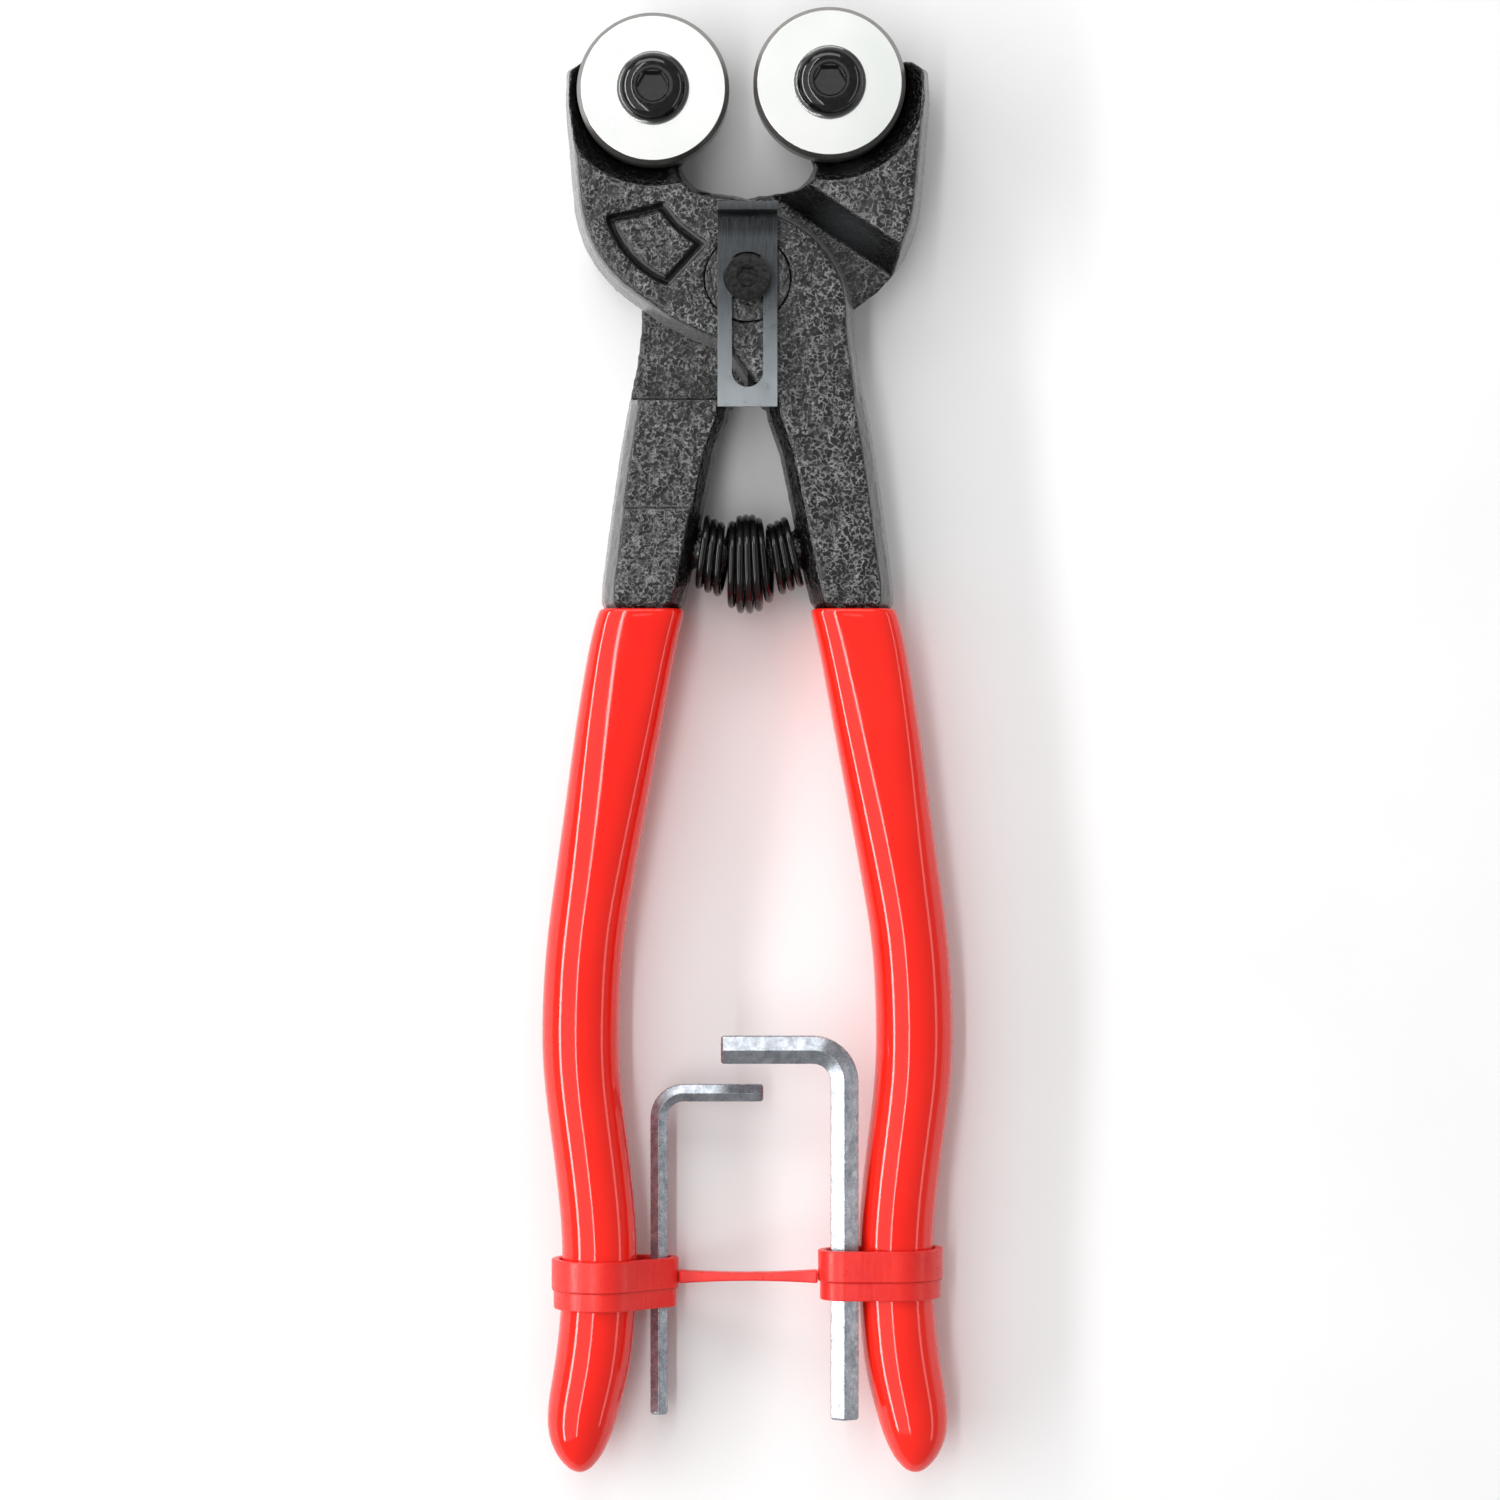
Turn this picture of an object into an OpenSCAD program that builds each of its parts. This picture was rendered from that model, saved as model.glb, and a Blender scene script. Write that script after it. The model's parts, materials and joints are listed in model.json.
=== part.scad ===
// Wheeled mosaic glass nippers. They lie on their back: the pivot axis is the Z axis, +Y points to
// the cutting wheels, +X to the right-hand handle, and Z = 0 is the back of the head.
// The front half carries the left jaw and the right handle. The rear half is its mirror image.

/* [Head] */
// Thickness of the two lapped halves together
head_t = 14; // [12:0.5:16]
// Depth of the forging draft, from the parting line to the faces
draft = 1.4; // [0.8:0.1:1.6]
// Depth of the panel sunk into the face of the left jaw
panel_depth = 0.9; // [0.4:0.1:1.2]

/* [Wheels] */
// Diameter of each cutting wheel
wheel_d = 22; // [20:0.5:22]
// Thickness of each cutting wheel
wheel_t = 6; // [5:0.5:7]
// Distance from the pivot axis to each wheel's axis
wheel_reach = 30.65; // [30:0.05:31]
// Angle of the left wheel from the centre line
left_wheel_angle = 26.4; // [25:0.1:28]
// Angle of the right wheel from the centre line
right_wheel_angle = 22.7; // [22:0.1:25]

/* [Depth stop] */
// Width of the slotted plate
stop_w = 8.6; // [7:0.1:9]
// Thickness of the slotted plate
stop_t = 1.2; // [1:0.1:1.5]
// Height of the turned-up tab above the plate
tab_h = 4.6; // [3:0.1:6]
// Width of the slot
slot_w = 4.5; // [4.3:0.1:5]

/* [Spring] */
// Wire diameter
wire_d = 1.1; // [0.9:0.05:1.2]
// Number of turns
turns = 10.5; // [8:0.5:11]
// Mean radius of the end turns
end_turn_r = 4.8; // [4.5:0.1:5]
// Mean radius of the middle turns
mid_turn_r = 6.7; // [5.5:0.1:6.8]

/* [Grips] */
// Thickness of the dipped plastic
coat = 0.9; // [0.8:0.1:1.2]

/* [Hex keys] */
// Across flats of the small key
small_key_af = 2.5; // [2.5:0.5:3]
// Across flats of the large key
large_key_af = 4; // [4:0.5:4]

/* [Hidden] */
$fn = 64;
big = 60;                            // longer than anything that a cut has to clear

// Heights
mid_z = head_t / 2;                  // the lap plane, and the middle of the handles
lap_gap = 0.05;                      // each half stands off the lap plane by this
seat_z = head_t - wheel_t;           // floor of each wheel's seat
face_gap = 0.03;                     // either side of a wheel, between floor and screw head

// Fits
pin_r = 4.5;
pin_head_r = 6.1;
pin_head_t = 3;
running = 0.03;                      // radial clearance of the pin in the front half
head_clear = 0.06;                   // radial clearance of the pin's head in its counterbore
pin_top = head_t + 0.1;              // the pin stands proud, so the depth stop clamps on it
m6_r = 3;
m4_r = 2;
thread_clear = 0.02;                 // radial, between a screw and its tapped hole
wheel_bore_r = 3.06;

// The forged outline of the front half at the parting line, counterclockwise. The round end
// stretches lie under the wheel, and the handle goes on from the last points.
wheel_end_r = 9.5;
nose = [for (a = [-58:16:150]) at_wheel(left_wheel_angle) + wheel_end_r * [cos(a), sin(a)]];
cheek_centre = [-6, 13];
cheek_r = 19.3;
cheek = [for (a = [188:8:236]) cheek_centre + cheek_r * [cos(a), sin(a)]];
shoulder_centre = [-0.5, -5];
shoulder_r = 16;
shoulder = [for (a = [-4:8:70]) shoulder_centre + shoulder_r * [cos(a), sin(a)]];
half_outline = concat(
    shoulder,
    [[1, 12], [-1.8, 12.7], [-5.2, 13.1], [-7.3, 13.7], [-8.8, 15], [-9.6, 16.6]],
    nose,
    [[-24, 32.2], [-26.3, 30.7], [-26.5, 26], [-26, 20], [-25.5, 14]],
    cheek,
    [[-12, -6.4], [-8.2, -8.3], [-4.4, -9.9], [-2.6, -12], [-0.2, -15.2], [2.1, -18.4],
     [16.9, -18.4], [16.4, -14], [15.7, -9]]);

// Stations down the right-hand grip: [y, centre x, width, thickness]
grip_top = -47.4;
stations = [[grip_top - 0.5, 15.4, 12.8, 12.7], [-53, 16.7, 12.9, 12.7], [-65, 18.8, 12.7, 12.4],
            [-76.5, 20.65, 12.1, 12], [-88, 22.5, 11.6, 11.7], [-97, 23.75, 11.35, 11.5],
            [-108, 24.3, 11.4, 11.5], [-117, 23.95, 11.3, 11.5], [-129, 22.4, 11.2, 11.5],
            [-140, 21.45, 11.1, 11.5], [-151, 21.85, 11.1, 11.5], [-158, 22.7, 11.2, 11.4],
            [-163.5, 23.8, 10.7, 10.8], [-167.5, 24.35, 9.3, 9.4], [-170.5, 24.45, 6.6, 6.8],
            [-172.4, 24.4, 3.2, 3.4], [-172.9, 24.4, 0.8, 0.9]];
// The grip's rounded lip, where the dipping ended
lip = [grip_top, 15.35, 12.1, 12];
// Stations down the steel neck: [y, centre x, width, back, front]. It thins where the grip takes over.
back_z = 1.2;
neck = [[-13, 9, 14.6, back_z, head_t - 0.1], [-20, 10.3, 14.8, back_z, head_t - 0.1],
        [-25, 11.6, 13.9, back_z, head_t - 0.3], [-33, 13, 13.4, back_z, head_t - 0.8],
        [-44, 14.8, 12.7, back_z, head_t - back_z], [-46.6, 15.2, 12.1, 1.3, 12.7],
        [grip_top - 0.1, 15.35, 10.9, 1.9, 12.1], [-52, 16.4, 10.3, 2, 12]];
tang_end = -167;                     // the steel stops here, inside the grip's round end
sleeve = 0.05;                       // between the steel and the dipped plastic
back_step = [-33, 1.7];              // the back of the neck is a little lower above this y
ring_n = 20;                         // points round a swept section

// Spring pegs
peg_r = 2.7;
peg_tilt = 11.5;
peg_root = [10, -38.2];
peg_l = 7.1;

// The key holder: [handle centre x, key centre x, key z, y of the middle, end radius at the key]
holder_wall = 1.1;
holder_h = 7.2;
holder_step = 2.7;                   // the lower band's height, which is a little thinner
band_drop = 0.3;
left_ring = [-21.6, -12.9, 4.7, -145.4, 1.75];
right_ring = [21.5, 14.05, 9.9, -143.8, 2.75];

function at_wheel(angle) = wheel_reach * [-sin(angle), cos(angle)];
function unit(v) = v / norm(v);
function inward(a, b) = let (d = unit(b - a)) [-d[1], d[0]];
function inset(points, d) = let (n = len(points))
    [for (i = [0:n - 1])
        let (a = points[(i + n - 1) % n], b = points[i], c = points[(i + 1) % n],
             n1 = inward(a, b), n2 = inward(b, c))
        b + d * (n1 + n2) / (1 + n1 * n2)];
function spline(a, b, c, d, t) =
    (2 * b + (c - a) * t + (2 * a - 5 * b + 4 * c - d) * t * t
     + (3 * b - a - 3 * c + d) * t * t * t) / 2;
function smooth(points, n) = let (last = len(points) - 1)
    concat([for (i = [0:last - 1]) for (k = [0:n - 1])
        spline(points[max(i - 1, 0)], points[i], points[i + 1], points[min(i + 2, last)], k / n)],
        [points[last]]);
function ramp(x, from, to) = let (t = min(1, max(0, (x - from) / (to - from)))) t * t * (3 - 2 * t);
// A section across the handle: a rounded box near the head that turns into an oval
function section(y, x, w, t, squareness) =
    [for (i = [0:ring_n - 1]) let (a = 360 * i / ring_n, c = cos(a), s = sin(a))
        [x + w / 2 * sign(c) * pow(abs(c), 2 / squareness), y,
         mid_z + t / 2 * sign(s) * pow(abs(s), 2 / squareness)]];

function grip_section(s, d) =
    section(s[0], s[1], s[2] - 2 * d, s[3] - 2 * d, 2.05 + 1.95 * ramp(s[0], -95, -30));

// A section across the forged neck, drafted both ways from the parting line
function forged_section(s) =
    let (y = s[0], x = s[1], w = s[2] / 2, low = s[3], top = s[4])
    [[x + w, y, mid_z], [x + w - 0.5, y, top - 3], [x + w - 2, y, top],
     [x - w + 2, y, top], [x - w + 0.5, y, top - 3], [x - w, y, mid_z],
     [x - w + 0.5, y, low + 3], [x - w + 2, y, low], [x + w - 2, y, low], [x + w - 0.5, y, low + 3]];

// Cuts a flat outline into triangles, taking the corner with the shortest diagonal each time
function turn_at(a, b, c) = (b[0] - a[0]) * (c[1] - a[1]) - (b[1] - a[1]) * (c[0] - a[0]);
function holds(a, b, c, q) = turn_at(a, b, q) > 0 && turn_at(b, c, q) > 0 && turn_at(c, a, q) > 0;
function corner(left, k) = let (n = len(left)) [left[(k + n - 1) % n], left[k], left[(k + 1) % n]];
function diagonal(p, left, k) =
    let (c = corner(left, k), a = p[c[0]], b = p[c[1]], d = p[c[2]])
    turn_at(a, b, d) > 0 && len([for (m = left) if (holds(a, b, d, p[m])) m]) == 0 ? norm(d - a) : big * big;
function triangles(p, left) =
    len(left) == 3 ? [left] :
    let (lengths = [for (k = [0:len(left) - 1]) diagonal(p, left, k)],
         best = [for (k = [0:len(left) - 1]) if (lengths[k] == min(lengths)) k][0])
    concat([corner(left, best)], triangles(p, [for (k = [0:len(left) - 1]) if (k != best) left[k]]));

// A closed solid through rings of points, each end closed by the given faces of a ring
module skin(rings, ends = undef) {
    n = len(rings[0]);
    last = (len(rings) - 1) * n;
    caps = is_undef(ends) ? [[for (i = [0:n - 1]) i]] : ends;
    polyhedron(
        points = [for (r = rings) each r],
        faces = concat(
            caps,
            [for (c = caps) [for (i = [len(c) - 1:-1:0]) last + c[i]]],
            [for (l = [0:n:last - n]) for (i = [0:n - 1]) let (j = (i + 1) % n)
                [l + i, l + n + i, l + n + j, l + j]]),
        convexity = 8);
}

// A flat outline carried up through levels, each [height, how far its edge is drawn in]
module stack(outline, levels) {
    skin([for (l = levels) [for (p = inset(outline, l[1])) [p[0], p[1], l[0]]]],
         triangles(inset(outline, levels[0][1]), [for (i = [0:len(outline) - 1]) i]));
}

// ---- forged halves ----

// The tang inside the grip follows the grip's own outline, one coat thickness smaller
module tang() {
    skin([for (s = smooth(stations, 2)) if (s[0] < grip_top - 0.6 && s[0] > tang_end)
        grip_section(s, coat + sleeve)]);
}

module neck_bar() {
    skin([for (s = neck) forged_section(s)]);
}

module spring_peg() {
    translate([peg_root[0], peg_root[1], mid_z])
        rotate([0, 0, peg_tilt])
            rotate([0, -90, 0])
                cylinder(h = peg_l, r = peg_r);
}

// The room that the other half's disc turns in, cut from the side that faces it
module lap_pocket() {
    translate([-big / 2, back_step[0], -1]) cube([big, -back_step[0] - 16.5, 1 + back_step[1]]);
    floor_edge = [[-26.8, -2.7], [-26.8, -17], [30, -17], [30, 16.5], [2.2, 16.5]];
    mouth_edge = [[-28.9, 1.1], [-28.9, -17.4], [31, -17.4], [31, 20.3], [0.1, 20.3]];
    skin([[for (p = mouth_edge) [p[0], p[1], -1]],
          [for (p = floor_edge) [p[0], p[1], mid_z + lap_gap]]]);
}

// Everything that the two halves share, drawn as the front half
module forging() {
    difference() {
        union() {
            stack(half_outline, [[0, draft], [1, draft - 0.5], [mid_z, 0], [head_t - 1, draft - 0.5],
                                 [head_t, draft]]);
            neck_bar();
            tang();
            spring_peg();
        }
        lap_pocket();
    }
}

// A wheel's seat, sloped down to its floor, and the tapped hole for the wheel's screw
module wheel_seat(axis) {
    hole_r = m6_r + thread_clear;
    wall_r = wheel_d / 2 + 0.25;
    slope = 3;
    translate([axis[0], axis[1], 0])
        rotate_extrude()
            polygon([[0, -1], [hole_r, -1], [hole_r, seat_z], [wall_r, seat_z], [wall_r, seat_z + 1.5],
                     [wall_r + slope, head_t + 0.2], [0, head_t + 0.2]]);
}

// A narrow sunk border with a level pad inside it
module jaw_panel() {
    outer = [for (a = [195:9:249]) cheek_centre + 15.1 * [cos(a), sin(a)]];
    edge = concat([[-5.6, 5.2], [-7.6, 6.5], [-9.8, 8.2], [-12, 11.1], [-16, 10]], outer);
    difference() {
        stack(edge, [[head_t - panel_depth, 0.3], [head_t + 0.5, -0.15]]);
        stack(edge, [[head_t - panel_depth - 1, 0.8], [head_t - 0.1, 1.2]]);
    }
}

module front_half() {
    head_r = pin_head_r + head_clear;
    bore_r = pin_r + running;
    shelf_z = head_t - pin_head_t - 0.05;
    color([0.16, 0.16, 0.17])
    difference() {
        forging();
        rotate_extrude()
            polygon([[0, -1], [bore_r, -1], [bore_r, shelf_z], [head_r, shelf_z], [head_r, big], [0, big]]);
        wheel_seat(at_wheel(left_wheel_angle));
        jaw_panel();
    }
}

module rear_half() {
    color([0.16, 0.16, 0.17])
    difference() {
        translate([0, 0, head_t]) rotate([0, 180, 0]) forging();
        rotate_extrude()
            polygon([[0, -1], [pin_r + 2.5, -1], [pin_r, 1.5], [pin_r, big], [0, big]]);
        wheel_seat(at_wheel(-right_wheel_angle));
    }
}

// ---- pivot, wheels and screws ----

// Riveted over at the back, with a flush head in front that is tapped for the depth stop's screw
module pivot_pin() {
    color([0.2, 0.2, 0.21])
    difference() {
        union() {
            cylinder(h = head_t - pin_head_t, r = pin_r);
            cylinder(h = 1.48, r1 = pin_r + 1.48, r2 = pin_r);
            translate([0, 0, head_t - pin_head_t]) cylinder(h = pin_head_t + 0.1, r = pin_head_r);
        }
        translate([0, 0, 5]) cylinder(h = big, r = m4_r + thread_clear);
    }
}

module wheel(axis) {
    r = wheel_d / 2;
    bevel_w = 0.6;
    bevel_h = 1;
    color([0.9, 0.91, 0.9])
    translate([axis[0], axis[1], seat_z + face_gap])
        rotate_extrude()
            polygon([[wheel_bore_r, 0], [r - bevel_w, 0], [r, bevel_h], [r, wheel_t - 2 * face_gap - bevel_h],
                     [r - bevel_w, wheel_t - 2 * face_gap], [wheel_bore_r, wheel_t - 2 * face_gap]]);
}

// A hexagon socket: across flats, depth
module socket(af, depth) {
    translate([0, 0, -depth]) cylinder(h = depth + big, r = af / sqrt(3), $fn = 6);
    translate([0, 0, -0.25]) cylinder(h = 0.26, r1 = af / sqrt(3) - 0.1, r2 = af / sqrt(3) + 0.2);
}

// M6 button-head screw with a 4 mm socket
module wheel_screw(axis) {
    head_r = 5.25;
    head_h = 3.3;
    top_r = 2.9;
    dome = [for (a = [0:10:90]) [top_r + (head_r - top_r) * cos(a), 0.4 + (head_h - 0.4) * sin(a)]];
    color([0.08, 0.08, 0.09])
    translate([axis[0], axis[1], head_t])
        difference() {
            union() {
                rotate_extrude() polygon(concat([[0, 0], [head_r, 0]], dome, [[0, head_h]]));
                translate([0, 0, 1 - head_t]) cylinder(h = head_t - 0.9, r = m6_r);
            }
            translate([0, 0, head_h]) socket(large_key_af, 2.3);
        }
}

// M4 low-head cap screw with a 2.5 mm socket
module depth_stop_screw() {
    head_r = 3.5;
    head_h = 2.8;
    edge = 0.35;
    color([0.1, 0.1, 0.11])
    translate([0, 0, pin_top + stop_t + 0.04])
        difference() {
            union() {
                cylinder(h = head_h - edge, r = head_r);
                translate([0, 0, head_h - edge]) cylinder(h = edge, r1 = head_r, r2 = head_r - edge);
                translate([0, 0, -9]) cylinder(h = 9.1, r = m4_r);
            }
            translate([0, 0, head_h]) socket(small_key_af, 1.8);
        }
}

// Slotted plate with a turned-up tab that the glass is pushed against
module depth_stop() {
    top_y = 10.5;
    bottom_y = -18.5;
    slot_low_y = -15.7 + slot_w / 2;
    bend = 1.1;
    bottom_z = pin_top + 0.02;
    color([0.36, 0.39, 0.42])
    translate([-stop_w / 2, 0, bottom_z])
        difference() {
            union() {
                translate([0, bottom_y, 0]) cube([stop_w, top_y - bottom_y, stop_t]);
                translate([0, top_y - stop_t, 0]) cube([stop_w, stop_t, stop_t + tab_h]);
                translate([0, top_y - stop_t - bend, stop_t - 0.1]) cube([stop_w, bend + 0.1, bend + 0.1]);
            }
            translate([-1, top_y - stop_t - bend, stop_t + bend])
                rotate([0, 90, 0]) cylinder(h = stop_w + 2, r = bend);
            for (y = [0, slot_low_y]) translate([stop_w / 2, y, -1]) cylinder(h = big, r = slot_w / 2);
            translate([stop_w / 2 - slot_w / 2, slot_low_y, -1]) cube([slot_w, -slot_low_y, big]);
        }
}

// ---- spring ----

// The turns are close-wound in three groups, and the axis dips between the tilted pegs
spring_sides = 6;
spring_steps = 14;                   // sections in each turn
spring_length = 13.4;
spring_axis_y = -38.95;
spring_dip = 1.9;
function wound(n) = let (gap = 0.85)
    1.13 * n + gap * (ramp(n, 2.3, 3.3) + ramp(n, turns - 3.3, turns - 2.3));
function spring_at(n) =
    let (s = wound(n) / wound(turns), u = 2 * s - 1,
         r = end_turn_r + (mid_turn_r - end_turn_r) * ramp(abs(u), 0.6, 0.1),
         tilt = peg_tilt * -u, a = 360 * n,
         x = spring_length / 2 * u, y = spring_axis_y - spring_dip * (1 - u * u))
    [x + r * cos(a) * sin(tilt), y + r * cos(a) * cos(tilt), mid_z + 0.15 + r * sin(a)];
function ring_on(p, along) =
    let (t = unit(along), side = unit(cross(t, [1, 0, 0])), up = cross(t, side))
    [for (i = [0:spring_sides - 1]) let (a = 360 * i / spring_sides)
        p + wire_d / 2 * (cos(a) * side + sin(a) * up)];

module handle_spring() {
    step = 1 / spring_steps;
    color([0.03, 0.03, 0.03])
        skin([for (i = [0:turns * spring_steps]) let (n = i * step)
            ring_on(spring_at(n), spring_at(n + 0.01) - spring_at(n - 0.01))]);
}

// ---- grips ----

// One skin: up the inside from the tip to the mouth, over the lip, and down the outside
module right_grip() {
    outside = concat([lip], smooth(stations, 2));
    inside = [for (s = outside) if (s[0] > tang_end - 0.5) s];
    last = len(inside) - 1;
    color([0.93, 0.12, 0.08])
        skin(concat([for (i = [last:-1:1]) grip_section(inside[i], coat)],
                    [grip_section(lip, coat - 0.35)],
                    [for (s = outside) grip_section(s, 0)]));
}

module left_grip() {
    translate([0, 0, head_t]) rotate([0, 180, 0]) right_grip();
}

// ---- key holder ----

// A ring round the handle that narrows to a loop for one key, lying across the handle
module ring_shape(ring, grow) {
    hull() {
        translate([ring[0], 0]) circle(r = stations[9][3] / 2 + 0.06 + grow);
        translate([ring[1], ring[2] - mid_z]) circle(r = ring[4] + grow);
    }
}

module ring_band(ring, y, h, grow) {
    translate([0, y, mid_z])
        rotate([90, 0, 0])
            linear_extrude(height = h)
                difference() {
                    ring_shape(ring, grow);
                    ring_shape(ring, 0);
                }
}

module key_holder_ring(ring) {
    color([0.9, 0.13, 0.1]) {
        ring_band(ring, ring[3] + holder_h / 2, holder_h - holder_step, holder_wall);
        ring_band(ring, ring[3] - holder_h / 2 + holder_step, holder_step, holder_wall - band_drop);
    }
}

// The thin link that joins the two rings
module key_holder_strap() {
    ends = [[left_ring[1] + left_ring[4] + holder_wall + 0.02, left_ring[3] + 0.7, left_ring[2]],
            [right_ring[1] - right_ring[4] - holder_wall - 0.02, right_ring[3] - 0.3, right_ring[2]]];
    function strap(t) = let (p = ends[0] + (ends[1] - ends[0]) * t, w = 0.6 + 0.35 * pow(abs(2 * t - 1), 2))
        [for (c = [[-1, -1], [1, -1], [1, 1], [-1, 1]]) [p[0], p[1] + c[0] * w, p[2] + 1.2 * c[1]]];
    color([0.9, 0.13, 0.1]) skin([for (t = [0:0.125:1]) strap(t)]);
}

// ---- hex keys ----

// A hexagon across the key, standing on the radius that points `turn` degrees from +X
function hexagon_at(p, turn, r) =
    [for (k = [0:5]) let (a = 30 + 60 * k) p + r * [cos(a) * cos(turn), cos(a) * sin(turn), sin(a)]];

// An L-shaped key with a corner edge up: corner of its centre line, long arm, short arm, bend radius
module hex_key(af, corner, long_arm, short_arm, bend_r, z, way) {
    r = af / sqrt(3);
    bevel = 0.3;
    color([0.78, 0.8, 0.82])
        translate([corner[0], corner[1], z])
            mirror([way < 0 ? 1 : 0, 0, 0])
                skin(concat(
                    [hexagon_at([0, -long_arm, 0], 180, r - bevel),
                     hexagon_at([0, bevel - long_arm, 0], 180, r)],
                    [for (a = [180:-10:90]) hexagon_at([bend_r * (1 + cos(a)), bend_r * (sin(a) - 1), 0], a, r)],
                    [hexagon_at([short_arm - bevel, 0, 0], 90, r),
                     hexagon_at([short_arm, 0, 0], 90, r - bevel)]));
}

module small_hex_key() {
    hex_key(small_key_af, [left_ring[1], -117.9], 46.9, 15.2, 3.6, left_ring[2], 1);
}

module large_hex_key() {
    hex_key(large_key_af, [right_ring[1], -111.3], 53.5, 17.9, 4.6, right_ring[2], -1);
}

front_half();
rear_half();
pivot_pin();
wheel(at_wheel(left_wheel_angle));  // left_wheel
wheel(at_wheel(-right_wheel_angle));  // right_wheel
wheel_screw(at_wheel(left_wheel_angle));  // left_wheel_screw
wheel_screw(at_wheel(-right_wheel_angle));  // right_wheel_screw
depth_stop();
depth_stop_screw();
handle_spring();
left_grip();
right_grip();
key_holder_ring(left_ring);  // key_holder_left_ring
key_holder_ring(right_ring);  // key_holder_right_ring
key_holder_strap();
small_hex_key();
large_hex_key();
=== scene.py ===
"""Wheeled mosaic glass nippers lying on a pale table, seen from straight above."""

import json
import math

import bmesh
import bpy
import numpy as np
from mathutils import Matrix, Vector, noise


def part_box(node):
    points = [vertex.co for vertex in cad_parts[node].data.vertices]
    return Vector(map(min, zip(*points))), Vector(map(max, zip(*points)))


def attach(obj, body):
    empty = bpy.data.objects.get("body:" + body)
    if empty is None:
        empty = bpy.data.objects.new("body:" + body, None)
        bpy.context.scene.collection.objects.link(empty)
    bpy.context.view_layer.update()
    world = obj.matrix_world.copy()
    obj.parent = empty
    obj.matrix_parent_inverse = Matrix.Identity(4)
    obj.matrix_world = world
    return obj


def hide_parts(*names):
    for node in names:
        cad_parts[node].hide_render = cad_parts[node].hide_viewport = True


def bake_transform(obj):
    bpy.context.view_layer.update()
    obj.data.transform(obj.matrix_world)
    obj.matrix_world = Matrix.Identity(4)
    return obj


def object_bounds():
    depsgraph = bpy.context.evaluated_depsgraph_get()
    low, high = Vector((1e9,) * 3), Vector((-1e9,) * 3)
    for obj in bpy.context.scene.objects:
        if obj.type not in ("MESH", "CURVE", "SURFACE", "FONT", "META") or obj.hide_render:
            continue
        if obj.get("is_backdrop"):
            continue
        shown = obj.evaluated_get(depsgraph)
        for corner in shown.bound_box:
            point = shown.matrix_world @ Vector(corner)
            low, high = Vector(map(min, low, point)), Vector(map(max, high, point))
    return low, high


MM = 0.001
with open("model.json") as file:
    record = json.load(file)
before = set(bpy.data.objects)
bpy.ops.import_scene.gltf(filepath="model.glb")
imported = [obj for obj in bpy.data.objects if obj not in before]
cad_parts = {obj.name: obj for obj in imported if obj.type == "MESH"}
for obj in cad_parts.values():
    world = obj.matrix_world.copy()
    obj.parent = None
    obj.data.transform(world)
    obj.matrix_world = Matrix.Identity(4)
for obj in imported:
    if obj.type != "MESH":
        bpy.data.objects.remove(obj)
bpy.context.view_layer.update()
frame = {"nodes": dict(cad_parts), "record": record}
scene = bpy.context.scene


# ---- places, from the frame ----


def centre_of(node):
    low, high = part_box(node)
    return (Vector(low) + Vector(high)) / 2


head_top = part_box("front_half")[1][2]
lap_z = head_top / 2
wheel_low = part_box("left_wheel")[0][2]
wheel_radius = (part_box("left_wheel")[1][0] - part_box("left_wheel")[0][0]) / 2
pin_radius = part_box("pivot_pin")[1][0]
grip_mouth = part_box("right_grip")[1][1]
tool_middle_y = -67.9 * MM

# The front jaw's panel, in millimetres: it lies inside the cheek's circle, clear of the pivot pin's head.
cheek_centre = (-6, 13)
panel_reach = 15.7
panel_right = -5.3
panel_top = 12.5
pin_clearance = 7.1

# The smooth pad on the rear jaw
pad_centre = (16.7 * MM, 11 * MM, lap_z)


# ---- meshes ----


def add_object(name, mesh):
    piece = bpy.data.objects.new(name, mesh)
    scene.collection.objects.link(piece)
    return piece


def mesh_from(name, vertices, faces):
    mesh = bpy.data.meshes.new(name)
    mesh.from_pydata(vertices, [], faces)
    mesh.update()
    return mesh


def plain_mesh(node):
    """A CAD node's shape as one welded surface, without its imported normals."""
    shape = bmesh.new()
    shape.from_mesh(frame["nodes"][node].data)
    bmesh.ops.remove_doubles(shape, verts=shape.verts, dist=1e-6)
    bmesh.ops.dissolve_degenerate(shape, edges=shape.edges, dist=1e-7)
    return shape


def bm_to_object(shape, name):
    mesh = bpy.data.meshes.new(name)
    clean = bmesh.new()
    made = [clean.verts.new(v.co) for v in shape.verts]
    shape.verts.index_update()
    for face in shape.faces:
        clean.faces.new([made[v.index] for v in face.verts])
    clean.normal_update()
    clean.to_mesh(mesh)
    clean.free()
    shape.free()
    return add_object(name, mesh)


def bake(piece):
    """Applies the piece's modifiers to its mesh."""
    graph = bpy.context.evaluated_depsgraph_get()
    mesh = bpy.data.meshes.new_from_object(piece.evaluated_get(graph))
    piece.modifiers.clear()
    piece.data = mesh


def smooth_shading(piece, angle=40):
    piece.data.shade_smooth()
    piece.data.set_sharp_from_angle(angle=math.radians(angle))


def break_edges(piece, width, segments, angle, harden=True):
    """Rounds every edge sharper than an angle in degrees."""
    edge = piece.modifiers.new("edge", "BEVEL")
    edge.width = width
    edge.segments = segments
    edge.limit_method = "ANGLE"
    edge.angle_limit = math.radians(angle)
    edge.harden_normals = harden


def face_outward(mesh):
    shape = bmesh.new()
    shape.from_mesh(mesh)
    bmesh.ops.recalc_face_normals(shape, faces=shape.faces)
    shape.to_mesh(mesh)
    shape.free()


def body_of_node(node):
    return next(b for b, nodes in frame["record"]["behaviour"]["bodies"].items() if node in nodes)


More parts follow.
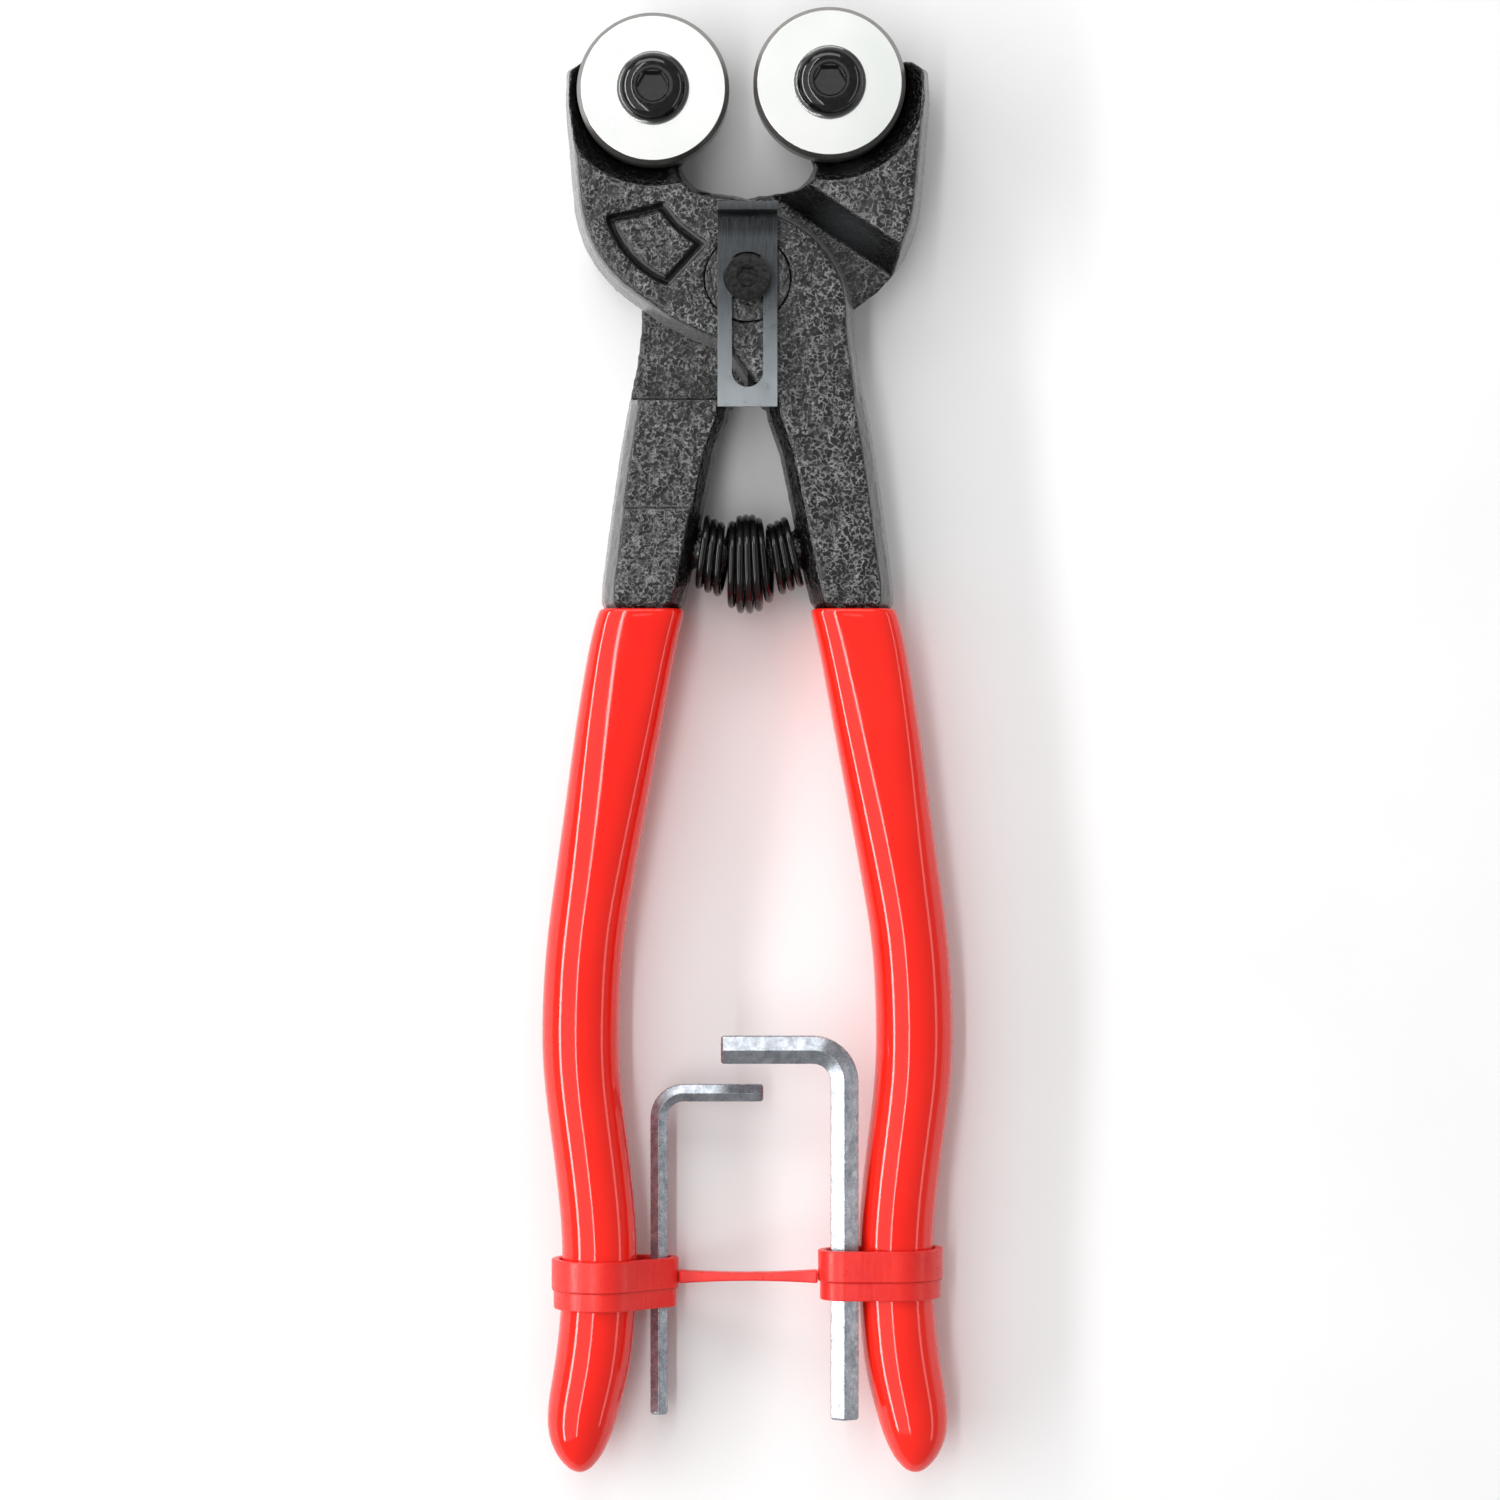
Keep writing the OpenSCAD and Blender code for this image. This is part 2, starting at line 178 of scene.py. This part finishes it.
def settle(piece, node, material):
    """The piece stands for the node and takes its finish."""
    piece.data.materials.clear()
    piece.data.materials.append(material)
    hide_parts(node)


def machined(node, material, bevel, segments=2):
    """A turned, cut or moulded piece: the CAD shape with its sharp edges broken."""
    piece = bm_to_object(plain_mesh(node), node + "_finished")
    smooth_shading(piece, 30)
    break_edges(piece, bevel, segments, 30)
    settle(piece, node, material)
    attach(piece, body_of_node(node))


def is_bend(edge, y, z):
    """Whether an edge runs across the plate at this place."""
    near = 0.02 * MM
    return all(abs(v.co.y - y) < near and abs(v.co.z - z) < near for v in edge.verts)


def bent_plate(material):
    """The depth stop, with the round bend where its tab turns up."""
    node = "depth_stop"
    low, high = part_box(node)
    thickness = 1.2 * MM
    inner_radius = 0.9 * MM
    outer_radius = 1.5 * MM
    shape = plain_mesh(node)
    inner = [e for e in shape.edges if is_bend(e, high.y - thickness, low.z + thickness)]
    outer = [e for e in shape.edges if is_bend(e, high.y, low.z)]
    for edges, radius in ((inner, inner_radius), (outer, outer_radius)):
        bmesh.ops.bevel(shape, geom=edges, offset=radius, segments=6, profile=0.5, affect="EDGES")
    piece = bm_to_object(shape, "bent_depth_stop")
    smooth_shading(piece, 30)
    break_edges(piece, 0.12 * MM, 2, 40)
    settle(piece, node, material)
    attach(piece, body_of_node(node))


# ---- forgings ----


def half_of(node, cut_y, keep_head):
    """The node's shape on one side of a cut across the handle, closed at the cut."""
    shape = plain_mesh(node)
    result = bmesh.ops.bisect_plane(
        shape,
        geom=shape.verts[:] + shape.edges[:] + shape.faces[:],
        plane_co=(0, cut_y, 0),
        plane_no=(0, 1, 0),
        clear_inner=keep_head,
        clear_outer=not keep_head,
    )
    rim = [g for g in result["geom_cut"] if isinstance(g, bmesh.types.BMEdge)]
    bmesh.ops.holes_fill(shape, edges=rim, sides=0)
    return shape


def cast_skin(point):
    """Height of the rough forged skin at a point, about -1 to 1."""
    coarse = noise.noise(point / (1.5 * MM))
    middle = noise.noise(point / (0.75 * MM) + Vector((7, 3, 1)))
    return 0.5 * coarse + 0.7 * middle


def roughen(mesh, wheel_centre, depth):
    """Moves the skin in and out, but leaves the lap face, the bores and the wheel's seat true."""
    lap_band = 0.5 * MM
    pin_margin = 0.4 * MM
    seat_margin = 0.45 * MM
    seat_drop = 0.5 * MM
    hole_radius = 3.5 * MM
    resting_band = 0.3 * MM
    count = len(mesh.vertices)
    points = np.empty(count * 3)
    normals = np.empty(count * 3)
    mesh.vertices.foreach_get("co", points)
    mesh.vertex_normals.foreach_get("vector", normals)
    points = points.reshape(-1, 3)
    normals = normals.reshape(-1, 3)
    on_lap = (abs(points[:, 2] - lap_z) < lap_band) & (abs(normals[:, 2]) > 0.6)
    at_pin = np.hypot(points[:, 0], points[:, 1]) < pin_radius + pin_margin
    from_wheel = np.hypot(points[:, 0] - wheel_centre.x, points[:, 1] - wheel_centre.y)
    in_seat = (from_wheel < wheel_radius + seat_margin) & (points[:, 2] > wheel_low - seat_drop)
    in_hole = from_wheel < hole_radius
    rough = ~(on_lap | at_pin | in_seat | in_hole)
    height = np.zeros(count)
    for i in np.flatnonzero(rough):
        height[i] = cast_skin(Vector(points[i]))
    resting = points[:, 2] < resting_band
    height[resting] = -abs(height[resting])
    points += normals * (height * depth)[:, None]
    mesh.vertices.foreach_set("co", points.ravel())
    mesh.update()


def in_panel(x, y):
    inside_cheek = math.hypot(x - cheek_centre[0], y - cheek_centre[1]) < panel_reach
    clear_of_pin = math.hypot(x, y) > pin_clearance
    return x < panel_right and y < panel_top and inside_cheek and clear_of_pin


def deepen_panel(mesh):
    """Cuts the border of the front jaw's panel deeper, since the voxels and the smoothing fill it."""
    shallowest = 0.15
    deepest = 1.65
    gain = 0.9
    for vertex in mesh.vertices:
        x, y, z = vertex.co / MM
        sunk = head_top / MM - z
        if shallowest < sunk < deepest and in_panel(x, y):
            vertex.co.z -= gain * (sunk - shallowest) * MM


def forging(node, wheel, material):
    """The CAD forging with rounded edges and a rough skin. Its hidden tang stays plain."""
    skin_depth = 0.075 * MM
    overlap = 0.3 * MM
    cut_y = grip_mouth - 4 * MM
    head = bm_to_object(half_of(node, cut_y, True), node + "_head")
    voxels = head.modifiers.new("voxels", "REMESH")
    voxels.mode = "VOXEL"
    voxels.voxel_size = 0.3 * MM
    rounding = head.modifiers.new("rounding", "SMOOTH")
    rounding.factor = 0.5
    rounding.iterations = 2
    bake(head)
    if node == "front_half":
        deepen_panel(head.data)
    roughen(head.data, centre_of(wheel), skin_depth)
    tang = bm_to_object(half_of(node, cut_y + overlap, False), node + "_tang")
    whole = bmesh.new()
    whole.from_mesh(head.data)
    whole.from_mesh(tang.data)
    piece = bm_to_object(whole, node + "_forging")
    for part in (head, tang):
        bpy.data.objects.remove(part)
    smooth_shading(piece, 60)
    settle(piece, node, material)
    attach(piece, body_of_node(node))


# ---- grips ----


def levels_of(node):
    """The node's points gathered by their Y, the mouth's first."""
    shape = plain_mesh(node)
    levels = {}
    for vertex in shape.verts:
        levels.setdefault(round(vertex.co.y, 6), []).append(vertex.co.copy())
    shape.free()
    return [(y, levels[y]) for y in sorted(levels, reverse=True)]


def rings_of(node):
    """The grip's cross-sections, mouth first: (outer ring, inner ring or nothing) for each."""
    nudge = math.radians(1)
    rings = []
    for y, level in levels_of(node):
        x = (min(p.x for p in level) + max(p.x for p in level)) / 2
        z = (min(p.z for p in level) + max(p.z for p in level)) / 2
        axis = Vector((x, y, z))

        def turn(p):
            return (math.atan2(p.z - z, p.x - x) + nudge) % math.tau

        found = sorted((turn(p), (p - axis).length, p) for p in level)
        groups = [[found[0]]]
        for item in found[1:]:
            if item[0] - groups[-1][0][0] < 2 * nudge:
                groups[-1].append(item)
            else:
                groups.append([item])
        outer = [max(g, key=lambda item: item[1])[2] for g in groups]
        inner = [min(g, key=lambda item: item[1])[2] for g in groups if len(g) > 1]
        rings.append((outer, inner if len(inner) == len(outer) else None))
    return rings


def loft(name, rings):
    """A closed surface through rings of equal length."""
    size = len(rings[0])
    vertices = [p for ring in rings for p in ring]
    faces = [tuple(range(size)), tuple(range(len(vertices) - 1, len(vertices) - size - 1, -1))]
    for level in range(len(rings) - 1):
        for i in range(size):
            j = (i + 1) % size
            base = level * size
            faces.append((base + i, base + size + i, base + size + j, base + j))
    return mesh_from(name, vertices, faces)


def grip(node, material):
    """The grip's sleeve, lofted from the bottom of its bore out to the mouth and back outside to its tip."""
    rings = rings_of(node)
    inside = [inner for _, inner in rings if inner]
    outside = [outer for outer, _ in rings]
    piece = add_object(node + "_dipped", loft(node, inside[::-1] + outside))
    face_outward(piece.data)
    piece.data.shade_smooth()
    rounding = piece.modifiers.new("rounding", "SUBSURF")
    rounding.levels = 2
    rounding.render_levels = 2
    settle(piece, node, material)
    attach(piece, body_of_node(node))


# ---- spring and strap ----


def ease(x, start, end):
    """0 at start to 1 at end, smoothly."""
    t = min(1, max(0, (x - start) / (end - start)))
    return t * t * (3 - 2 * t)


def spring_path():
    """The centre line of the barrel spring: close turns in three groups, dipping between its pegs."""
    turns = 10.5
    steps = 40
    tilt = math.radians(11.5)
    length = 13.4 * MM
    axis_y = -38.95 * MM
    dip = 1.9 * MM
    end_radius = 4.8 * MM
    middle_radius = 6.7 * MM
    centre_z = centre_of("handle_spring").z
    turn_width = 1.13
    group_gap = 0.85

    def wound(n):
        gaps = ease(n, 2.3, 3.3) + ease(n, turns - 3.3, turns - 2.3)
        return turn_width * n + group_gap * gaps

    for k in range(int(turns * steps) + 1):
        n = k / steps
        u = 2 * wound(n) / wound(turns) - 1
        radius = end_radius + (middle_radius - end_radius) * ease(abs(u), 0.6, 0.1)
        lean = -tilt * u
        a = math.tau * n
        yield Vector((
            length / 2 * u + radius * math.cos(a) * math.sin(lean),
            axis_y - dip * (1 - u * u) + radius * math.cos(a) * math.cos(lean),
            centre_z + radius * math.sin(a),
        ))


def wire(name, path, radius, sides):
    """A round wire along a path that never runs straight along X."""
    points = list(path)
    rings = []
    for k, p in enumerate(points):
        along = (points[min(k + 1, len(points) - 1)] - points[max(k - 1, 0)]).normalized()
        side = along.cross(Vector((1, 0, 0))).normalized()
        up = along.cross(side)
        rings.append([
            p + radius * (math.cos(math.tau * i / sides) * side + math.sin(math.tau * i / sides) * up)
            for i in range(sides)
        ])
    return loft(name, rings)


def between_handles(piece, reach):
    """Bakes the piece's placement into its mesh; it does not bend the piece. The reach is not used."""
    reach = Vector((reach, 0, 0))
    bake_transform(piece)


def spring(material):
    node = "handle_spring"
    wire_radius = 0.56 * MM
    piece = add_object("barrel_spring", wire(node, spring_path(), wire_radius, 12))
    face_outward(piece.data)
    smooth_shading(piece, 60)
    settle(piece, node, material)
    between_handles(piece, 6 * MM)


def strap(material):
    """The thin link between the holder's rings. The real one bends as the handles close; this piece keeps
    its shape.
    """
    node = "key_holder_strap"
    piece = bm_to_object(plain_mesh(node), "holder_strap")
    break_edges(piece, 0.3 * MM, 3, 50, harden=False)
    bake(piece)
    smooth_shading(piece, 50)
    settle(piece, node, material)
    low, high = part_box(node)
    stiff_end = 1 * MM
    between_handles(piece, (high[0] - low[0]) / 2 - stiff_end)


# ---- materials ----


class Finish:
    """A material being put together around one Principled shader."""

    def __init__(self, name, **constants):
        self.material = bpy.data.materials.new(name)
        self.material.use_nodes = True
        self.tree = self.material.node_tree
        self.shader = self.tree.nodes["Principled BSDF"]
        for socket, value in constants.items():
            self.shader.inputs[socket.replace("_", " ").title().replace("Ior", "IOR")].default_value = value
        self.last_bump = None
        self.coordinates = self.node("ShaderNodeTexCoord").outputs
        self.place = self.coordinates["Object"]

    def node(self, kind, **settings):
        made = self.tree.nodes.new(kind)
        for name, value in settings.items():
            setattr(made, name, value)
        return made

    def link(self, source, target):
        self.tree.links.new(source, target)

    def noise(self, size, detail=3.0, roughness=0.5, stretch=(1, 1, 1)):
        """Noise with features of about this size in metres, stretched along an axis by its factor."""
        mapping = self.node("ShaderNodeMapping")
        mapping.inputs["Scale"].default_value = [1 / s for s in stretch]
        self.link(self.place, mapping.inputs["Vector"])
        made = self.node("ShaderNodeTexNoise")
        made.inputs["Scale"].default_value = 1 / size
        made.inputs["Detail"].default_value = detail
        made.inputs["Roughness"].default_value = roughness
        self.link(mapping.outputs["Vector"], made.inputs["Vector"])
        return made.outputs["Fac"]

    def near(self, point, inside, outside):
        """1 closer to a point than one radius, 0 further off than the other."""
        made = self.node("ShaderNodeVectorMath", operation="DISTANCE")
        made.inputs[1].default_value = point
        self.link(self.place, made.inputs[0])
        return self.ranged(made.outputs["Value"], inside, outside, 1, 0)

    def part_of(self, vector, axis):
        split = self.node("ShaderNodeSeparateXYZ")
        self.link(vector, split.inputs[0])
        return split.outputs[axis]

    def along(self, axis, start, end):
        """0 at start to 1 at end along an axis of the piece."""
        return self.ranged(self.part_of(self.place, axis), start, end)

    def steps(self, value, stops):
        """A colour ramp: stops are (place, colour)."""
        made = self.node("ShaderNodeValToRGB")
        elements = made.color_ramp.elements
        while len(elements) < len(stops):
            elements.new(0.5)
        for element, (place, colour) in zip(elements, stops):
            element.position = place
            element.color = (*colour, 1)
        self.link(value, made.inputs["Fac"])
        return made.outputs["Color"]

    def spread(self, value, low, high):
        """Stretches a noise value, mostly 0.3 to 0.7, over low to high."""
        return self.ranged(value, 0.3, 0.7, low, high)

    def mix(self, factor, a, b):
        """From colour a at 0 to colour b at 1. The node's sockets 6 and 7 are the ones for colours."""
        made = self.node("ShaderNodeMix", data_type="RGBA")
        self.link(factor, made.inputs["Factor"])
        for source, target in ((a, made.inputs[6]), (b, made.inputs[7])):
            if isinstance(source, tuple):
                target.default_value = (*source, 1)
            else:
                self.link(source, target)
        return made.outputs[2]

    def uprightness(self):
        """1 on faces that look up or down, 0 on the sides."""
        upright = self.node("ShaderNodeMath", operation="ABSOLUTE")
        self.link(self.part_of(self.coordinates["Normal"], "Z"), upright.inputs[0])
        return upright.outputs[0]

    def outwardness(self):
        """How far a face looks away from the tool's centre line, to either side."""
        side = self.node("ShaderNodeMath", operation="SIGN")
        self.link(self.part_of(self.place, "X"), side.inputs[0])
        return self.times(self.part_of(self.coordinates["Normal"], "X"), side.outputs[0])

    def openness(self, reach):
        """0 in a groove or corner, 1 in the open."""
        made = self.node("ShaderNodeAmbientOcclusion", samples=8, only_local=True)
        made.inputs["Distance"].default_value = reach
        return made.outputs["AO"]

    def times(self, a, b):
        made = self.node("ShaderNodeMath", operation="MULTIPLY")
        self.link(a, made.inputs[0])
        self.link(b, made.inputs[1])
        return made.outputs[0]

    def ranged(self, value, start, end, low=0.0, high=1.0):
        """The value's stretch from start to end as low to high."""
        made = self.node("ShaderNodeMapRange")
        for socket, number in zip(("From Min", "From Max", "To Min", "To Max"), (start, end, low, high)):
            made.inputs[socket].default_value = number
        self.link(value, made.inputs["Value"])
        return made.outputs["Result"]

    def colour(self, source):
        self.link(source, self.shader.inputs["Base Color"])

    def roughness(self, source):
        self.link(source, self.shader.inputs["Roughness"])

    def bump(self, height, depth, strength=1.0):
        """Adds relief of this depth in metres. Strength is a number or a socket."""
        made = self.node("ShaderNodeBump")
        made.inputs["Distance"].default_value = depth
        if isinstance(strength, (int, float)):
            made.inputs["Strength"].default_value = strength
        else:
            self.link(strength, made.inputs["Strength"])
        self.link(height, made.inputs["Height"])
        if self.last_bump:
            self.link(self.last_bump, made.inputs["Normal"])
        self.last_bump = made.outputs["Normal"]
        self.link(self.last_bump, self.shader.inputs["Normal"])


def forged_black():
    """Glossy black forging, wrinkled on top, with a smoother pad on the rear jaw. Its colour holds painted
    light: painted shade on slopes and in grooves, painted glints on the wrinkle crests, and a pale painted
    reflection on the outward sides.
    """
    f = Finish("forged_black", specular_ior_level=0.6)
    grain = f.noise(0.75 * MM, 1.5, 0.5)
    wrinkle = f.steps(grain, [(0.43, (0, 0, 0)), (0.5, (1, 1, 1)), (0.57, (0, 0, 0))])
    patch = f.noise(2.5 * MM, 3)
    pad = f.near(pad_centre, 4.5 * MM, 8 * MM)
    top = f.times(f.ranged(f.uprightness(), 0.8, 0.95), f.ranged(pad, 0, 1, 1, 0.25))
    # The pale wrinkle crests on the top faces are painted glints: highlights painted into the colour,
    # fainter on the pad.
    painted_glints = f.times(f.times(wrinkle, f.ranged(patch, 0.35, 0.65, 0.3, 1)), top)
    open_air = f.openness(1.4 * MM)
    # Slopes and tilted faces get a darker skin than the top faces: painted shade.
    skin = f.mix(top, (0.003, 0.003, 0.003), (0.01, 0.01, 0.01))
    skin = f.mix(pad, skin, (0.045, 0.048, 0.051))
    # Painted glints: the wrinkle crests turn pale grey.
    skin = f.mix(painted_glints, skin, (0.25, 0.255, 0.25))
    # Grooves, recesses and corners fade to black: painted shade from the ambient occlusion.
    skin = f.mix(f.ranged(open_air, 0.55, 0.95), (0.0, 0.0, 0.0), skin)
    # Steep faces that look outward turn pale grey: a painted reflection of the bright room.
    edge = f.times(f.ranged(f.uprightness(), 0.75, 0.35), f.ranged(f.outwardness(), 0.1, 0.4))
    f.colour(f.mix(edge, skin, (0.15, 0.15, 0.15)))
    f.roughness(f.ranged(open_air, 0.3, 0.8, 0.7, 0.2))
    off_edge = f.ranged(edge, 0, 1, 1, 0.3)
    f.bump(wrinkle, 0.08 * MM, f.times(off_edge, f.ranged(pad, 0, 1, 1, 0.3)))
    f.bump(patch, 0.3 * MM, off_edge)
    return f.material


def pin_steel():
    """Dark rough steel, like the forging but without its painted glints."""
    f = Finish("pin_steel", specular_ior_level=0.8)
    grain = f.noise(0.8 * MM, 2, 0.5)
    f.colour(f.steps(grain, [(0.42, (0.002, 0.002, 0.002)), (0.7, (0.06, 0.06, 0.06))]))
    f.roughness(f.spread(grain, 0.2, 0.34))
    f.bump(grain, 0.2 * MM)
    return f.material


def wheel_metal():
    """Polished faces and a ground grey rim."""
    f = Finish("wheel_metal", metallic=1.0)
    face = f.ranged(f.uprightness(), 0.93, 0.99)
    smudge = f.steps(f.noise(14 * MM, 2), [(0.35, (0.84, 0.87, 0.84)), (0.65, (0.93, 0.94, 0.92))])
    ground = f.steps(f.noise(0.3 * MM, 2), [(0.3, (0.24, 0.235, 0.225)), (0.7, (0.36, 0.35, 0.34))])
    f.colour(f.mix(face, ground, smudge))
    f.roughness(f.ranged(face, 0, 1, 0.42, 0.2))
    f.bump(f.noise(0.25 * MM, 2), 0.001 * MM, 0.5)
    return f.material


def black_oxide():
    """Black screws with a smooth shine."""
    f = Finish("black_oxide", specular_ior_level=0.5)
    fine = f.noise(0.7 * MM, 4, 0.6)
    f.colour(f.steps(fine, [(0.4, (0.002, 0.002, 0.002)), (0.75, (0.009, 0.009, 0.01))]))
    f.roughness(f.spread(fine, 0.06, 0.16))
    f.bump(f.noise(0.9 * MM, 3), 0.012 * MM)
    return f.material


def blued_steel():
    """The depth stop: a painted highlight on its tab's top edge, painted shade nearly black across the tab,
    and paler towards its far end.
    """
    f = Finish("blued_steel", metallic=0.85)
    low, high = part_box("depth_stop")
    length = f.along("Y", high[1], low[1])
    # The tab's top edge is painted lighter as a highlight, and the tab below it nearly black as painted
    # shade.
    tab = [(0.0, (0.08, 0.085, 0.09)), (0.06, (0.01, 0.011, 0.012)), (0.12, (0.015, 0.016, 0.017))]
    blade = [(0.17, (0.05, 0.056, 0.06)), (0.45, (0.07, 0.078, 0.085)), (1.0, (0.34, 0.37, 0.39))]
    base = f.steps(length, tab + blade)
    brushed = f.noise(0.25 * MM, 3, 0.6, stretch=(1, 14, 1))
    wear = f.spread(brushed, 0, 0.08)
    f.colour(f.mix(wear, base, (0.5, 0.54, 0.56)))
    f.roughness(f.spread(f.noise(2 * MM, 4), 0.26, 0.42))
    f.bump(brushed, 0.006 * MM, 0.7)
    return f.material


def spring_black():
    """Glossy black spring wire."""
    f = Finish("spring_black", specular_ior_level=0.4)
    f.colour(f.steps(f.noise(1.2 * MM, 3), [(0.3, (0.002, 0.002, 0.002)), (0.7, (0.006, 0.006, 0.006))]))
    f.roughness(f.spread(f.noise(0.8 * MM, 3), 0.07, 0.14))
    f.bump(f.noise(0.8 * MM, 2), 0.01 * MM, 0.5)
    return f.material


def dipped_red():
    """Thick glossy dipped coating, a little wavy."""
    f = Finish("dipped_red")
    f.colour(f.steps(f.noise(22 * MM, 3), [(0.3, (0.84, 0.012, 0.006)), (0.7, (0.92, 0.02, 0.01))]))
    f.roughness(f.spread(f.noise(4 * MM, 4), 0.05, 0.1))
    f.bump(f.noise(14 * MM, 1), 0.1 * MM, 0.5)
    f.bump(f.noise(1.2 * MM, 2), 0.003 * MM, 0.5)
    return f.material


def moulded_red():
    """The key holder: softer shine, with draw lines from the mould."""
    f = Finish("moulded_red")
    f.colour(f.steps(f.noise(5 * MM, 3), [(0.3, (0.72, 0.014, 0.011)), (0.7, (0.84, 0.026, 0.018))]))
    f.roughness(f.spread(f.noise(1 * MM, 4), 0.26, 0.42))
    f.bump(f.noise(0.7 * MM, 2, stretch=(1, 12, 1)), 0.08 * MM, 0.45)
    f.bump(f.noise(0.4 * MM, 3), 0.01 * MM, 0.5)
    return f.material


def bright_plate():
    """Zinc-plated hex keys, slightly mottled, with drawing marks along their arms."""
    f = Finish("bright_plate", metallic=0.75)
    mottle = [(0.3, (0.2, 0.22, 0.25)), (0.55, (0.34, 0.365, 0.4)), (0.8, (0.5, 0.52, 0.55))]
    f.colour(f.steps(f.noise(1.6 * MM, 5, 0.65), mottle))
    f.roughness(f.spread(f.noise(0.9 * MM, 4, 0.6), 0.18, 0.36))
    f.bump(f.noise(0.5 * MM, 4, 0.6, stretch=(1, 2, 1)), 0.05 * MM, 0.5)
    f.bump(f.noise(0.2 * MM, 2), 0.004 * MM, 0.6)
    return f.material


def table_white():
    f = Finish("table_white")
    f.colour(f.steps(f.noise(0.06, 3), [(0.3, (0.86, 0.86, 0.86)), (0.7, (0.9, 0.9, 0.9))]))
    f.roughness(f.spread(f.noise(0.01, 3), 0.55, 0.7))
    return f.material


# ---- stage ----


def table():
    low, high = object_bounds()
    middle = (Vector(low) + Vector(high)) / 2
    reach = 2.0
    sides = ((-1, -1), (1, -1), (1, 1), (-1, 1))
    corners = [(middle.x + x * reach, middle.y + y * reach, 0) for x, y in sides]
    piece = add_object("table", mesh_from("table", corners, [(0, 1, 2, 3)]))
    piece.data.materials.append(table_white())
    piece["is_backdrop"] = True


def camera():
    """Straight above, as far off as the tool's drafted sides and its wheels show."""
    made = bpy.data.objects.new("camera", bpy.data.cameras.new("camera"))
    scene.collection.objects.link(made)
    made.data.lens = 115
    made.data.sensor_width = 36
    made.data.clip_start = 0.05
    distance = 690 * MM
    made.location = (0.36 * MM, tool_middle_y, head_top + distance)
    scene.camera = made


def soft_light(name, place, aim, width, length, radiance):
    """A soft box of even radiance, with its length along the tool."""
    made = bpy.data.objects.new(name, bpy.data.lights.new(name, "AREA"))
    scene.collection.objects.link(made)
    made.data.shape = "RECTANGLE"
    made.data.size = width
    made.data.size_y = length
    made.data.energy = radiance * math.pi * width * length
    back = (place - aim).normalized()
    across = Vector((0, 1, 0)).cross(back).normalized()
    turned = Matrix((across, back.cross(across), back)).transposed()
    made.matrix_world = Matrix.Translation(place) @ turned.to_4x4()


def from_side(elevation, side):
    """A place beside the tool's middle, at this height in degrees above the table."""
    distance = 0.8
    a = math.radians(elevation)
    return Vector((side * distance * math.cos(a), tool_middle_y, distance * math.sin(a)))


def lights():
    """A white panel between two tubes on the left, a dim strip on the right, and two cards for the head."""
    centre = Vector((0, tool_middle_y, 0))
    low_edge = from_side(28, -1)
    high_edge = from_side(76, -1)
    in_front = 0.98
    soft_light("left_panel", (low_edge + high_edge) / 2, centre, (high_edge - low_edge).length, 1.3, 0.75)
    soft_light("low_tube", low_edge * in_front, centre, 0.085, 1.3, 15)
    soft_light("high_tube", high_edge * in_front, centre, 0.04, 1.3, 12)
    soft_light("right_strip", from_side(24, 1), centre, 0.1, 1.2, 2.5)
    head = Vector((0, centre_of("left_wheel").y, 0))
    soft_light("beyond_head", head + Vector((-0.15, 0.9, 0.7)), head, 1.0, 0.4, 3.5)
    soft_light("wheel_card", head + Vector((0, 0.24, 1.5)), head, 0.3, 0.2, 1.15)
    world = bpy.data.worlds.new("room")
    world.use_nodes = True
    world.node_tree.nodes["Background"].inputs["Color"].default_value = (1, 1, 1, 1)
    world.node_tree.nodes["Background"].inputs["Strength"].default_value = 0.34
    scene.world = world
    scene.view_settings.view_transform = "Standard"


# ---- the tool ----

black = forged_black()
oxide = black_oxide()
red = dipped_red()
moulding = moulded_red()
plate = bright_plate()
hard_metal = wheel_metal()

forging("front_half", "left_wheel", black)
forging("rear_half", "right_wheel", black)
machined("pivot_pin", pin_steel(), 0.12 * MM)
for side in ("left", "right"):
    machined(side + "_wheel", hard_metal, 0.06 * MM)
    machined(side + "_wheel_screw", oxide, 0.2 * MM, 3)
    grip(side + "_grip", red)
    machined("key_holder_" + side + "_ring", moulding, 0.22 * MM, 3)
bent_plate(blued_steel())
machined("depth_stop_screw", oxide, 0.25 * MM, 3)
spring(spring_black())
strap(moulding)
for size in ("small", "large"):
    machined(size + "_hex_key", plate, 0.12 * MM)

table()
camera()
lights()
